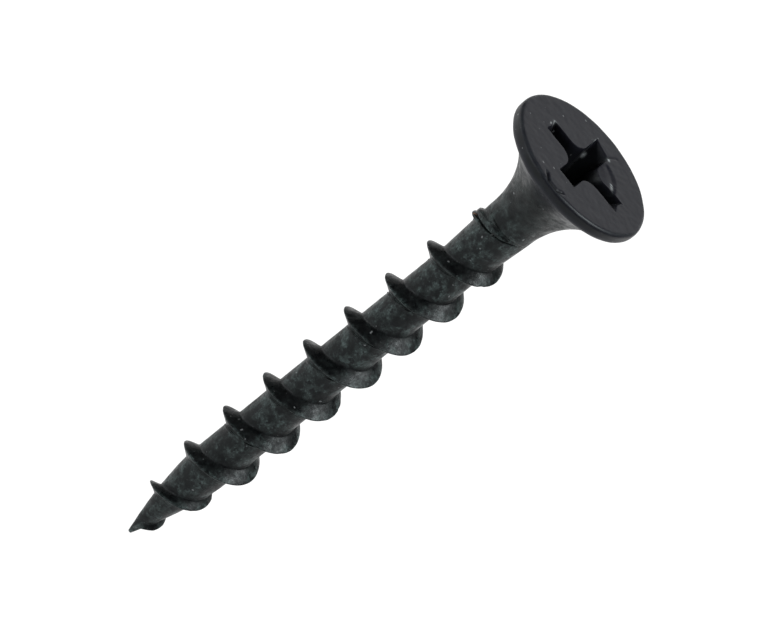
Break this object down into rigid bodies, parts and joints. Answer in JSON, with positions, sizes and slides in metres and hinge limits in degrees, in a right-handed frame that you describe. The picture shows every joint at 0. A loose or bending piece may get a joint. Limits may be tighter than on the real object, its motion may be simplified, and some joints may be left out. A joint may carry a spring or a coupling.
{
  "type": "wood screw",
  "caption": "Bugle-head wood screw with a cross recess, a coarse right-hand thread and a sharp point, in black phosphated steel.",
  "frame": {"origin": "centre of the flat head face, which lies in the plane of the surface that the screw is driven flush with", "axes": "+Z along the screw's axis, out of the head; the point is towards -Z; the wings of the cross recess lie along X and Y"},
  "size_m": [0.0082, 0.0082, 0.0318],
  "materials": {
    "phosphated_steel": "matte"
  },
  "bodies": {
    "root": {"screw": "phosphated_steel"}
  },
  "joints": []
}
